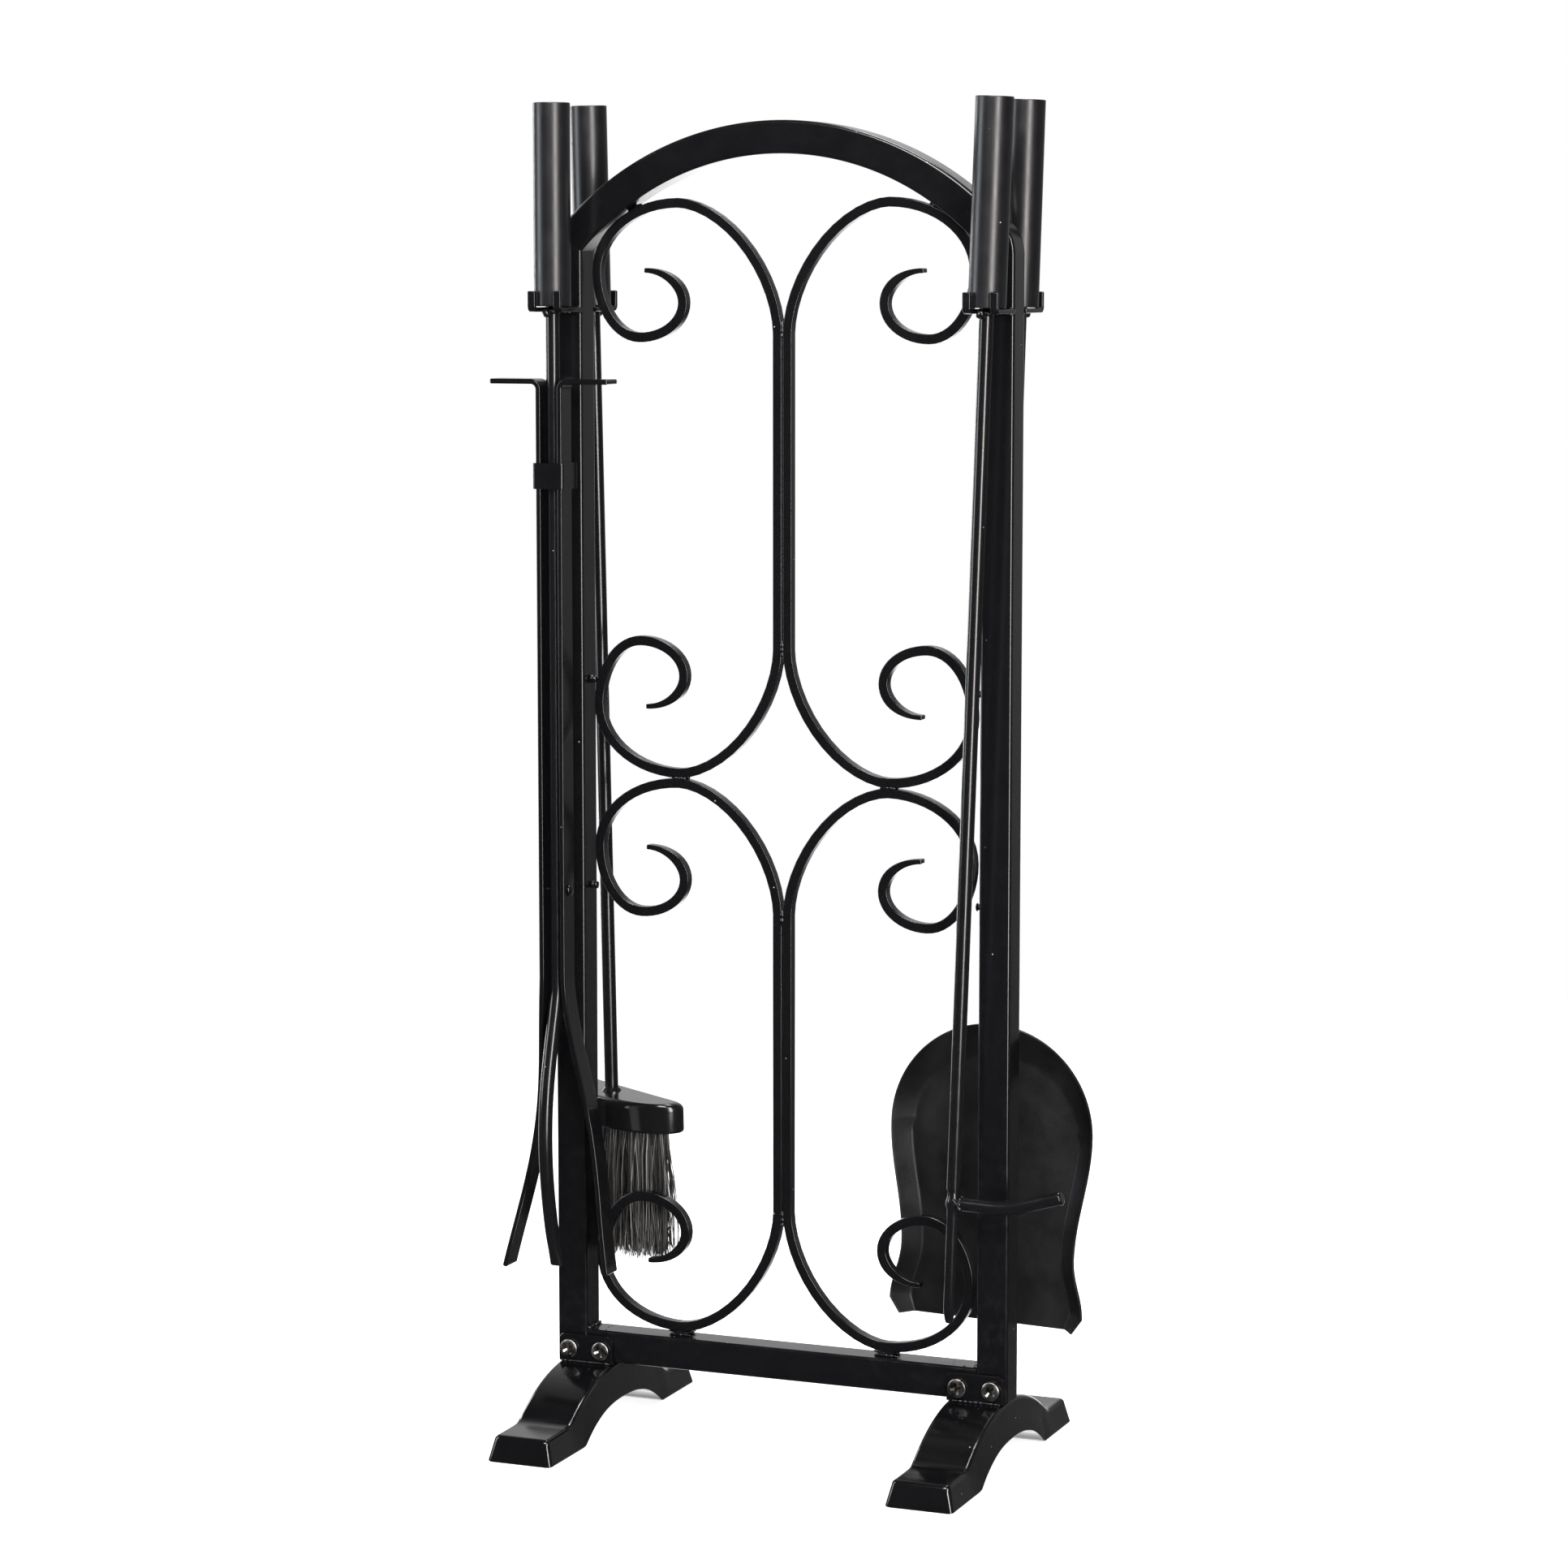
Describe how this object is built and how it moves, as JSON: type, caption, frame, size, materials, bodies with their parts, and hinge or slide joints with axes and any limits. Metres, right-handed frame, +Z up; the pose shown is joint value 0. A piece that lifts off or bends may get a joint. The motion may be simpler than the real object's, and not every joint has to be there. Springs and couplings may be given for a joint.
{
  "type": "fireplace tool set",
  "caption": "Arched stand with scrollwork that holds hearth tongs, a poker, a brush and an ash shovel, each hung by its handle on a forked hook.",
  "frame": {"origin": "on the floor under the middle of the stand, midway between the two uprights and in the plane of the scrollwork", "axes": "+Z up, +X to the right as the stand faces the viewer, -Y towards the front, where the tongs and the poker hang"},
  "size_m": [0.3568, 0.21, 0.781],
  "materials": {
    "black_paint": "semi-gloss black paint",
    "black_satin": "satin black paint",
    "pan_black": "textured matte black paint",
    "dark_nickel": "dark nickel plate",
    "zinc": "zinc plate",
    "bristle": "stiff dark fibre"
  },
  "bodies": {
    "stand": {"bottom_bar": "black_paint", "foot_bracket_left": "black_paint", "foot_bracket_right": "black_paint", "foot_left": "black_paint", "foot_right": "black_paint", "foot_screw_inner_left": "dark_nickel", "foot_screw_inner_right": "dark_nickel", "foot_screw_outer_left": "dark_nickel", "foot_screw_outer_right": "dark_nickel", "fork_front_left": "black_paint", "fork_front_right": "black_paint", "fork_rear_left": "black_paint", "fork_rear_right": "black_paint", "insert_nut_inner_left": "zinc", "insert_nut_inner_right": "zinc", "insert_nut_outer_left": "zinc", "insert_nut_outer_right": "zinc", "left_upright": "black_paint", "lower_scroll_left": "black_paint", "lower_scroll_right": "black_paint", "right_upright": "black_paint", "scroll_spacer_left": "black_paint", "scroll_spacer_right": "black_paint", "top_arch": "black_paint", "upper_scroll_left": "black_paint", "upper_scroll_right": "black_paint"},
    "tongs": {"tongs_handle": "black_satin", "tongs_handle_cap": "black_satin", "tongs_handle_plug": "black_satin", "tongs_rod": "black_paint"},
    "tongs_jaws": {"tongs_arm_left": "black_paint", "tongs_arm_right": "black_paint", "tongs_rivet": "black_paint", "tongs_strap": "black_paint"},
    "poker": {"poker_handle": "black_satin", "poker_handle_cap": "black_satin", "poker_handle_plug": "black_satin", "poker_hook": "black_paint", "poker_rod": "black_paint", "poker_tip": "black_paint"},
    "brush": {"brush_block": "black_paint", "brush_bristles": "bristle", "brush_handle": "black_satin", "brush_handle_cap": "black_satin", "brush_handle_plug": "black_satin", "brush_rod": "black_paint"},
    "shovel": {"shovel_handle": "black_satin", "shovel_handle_cap": "black_satin", "shovel_handle_plug": "black_satin", "shovel_pan": "pan_black", "shovel_rivet_lower": "black_paint", "shovel_rivet_upper": "black_paint", "shovel_rod": "black_paint"}
  },
  "joints": [
    {"name": "tongs_lift", "type": "slide", "parent": "stand", "child": "tongs", "axis": [0, 0, 1], "range_m": [0, 0.03]},
    {"name": "tongs_jaws_hinge", "type": "hinge", "parent": "tongs", "child": "tongs_jaws", "pos_m": [-0.1325, -0.028, 0.3251], "axis": [1, 0, 0], "range_deg": [0, 2.5]},
    {"name": "poker_lift", "type": "slide", "parent": "stand", "child": "poker", "axis": [0.034, 0, 0.9994], "range_m": [0, 0.03]},
    {"name": "brush_lift", "type": "slide", "parent": "stand", "child": "brush", "axis": [-0.0129, -0.0159, 0.9998], "range_m": [0, 0.03]},
    {"name": "shovel_lift", "type": "slide", "parent": "stand", "child": "shovel", "axis": [0.028, 0.0038, 0.9996], "range_m": [0, 0.03]}
  ]
}
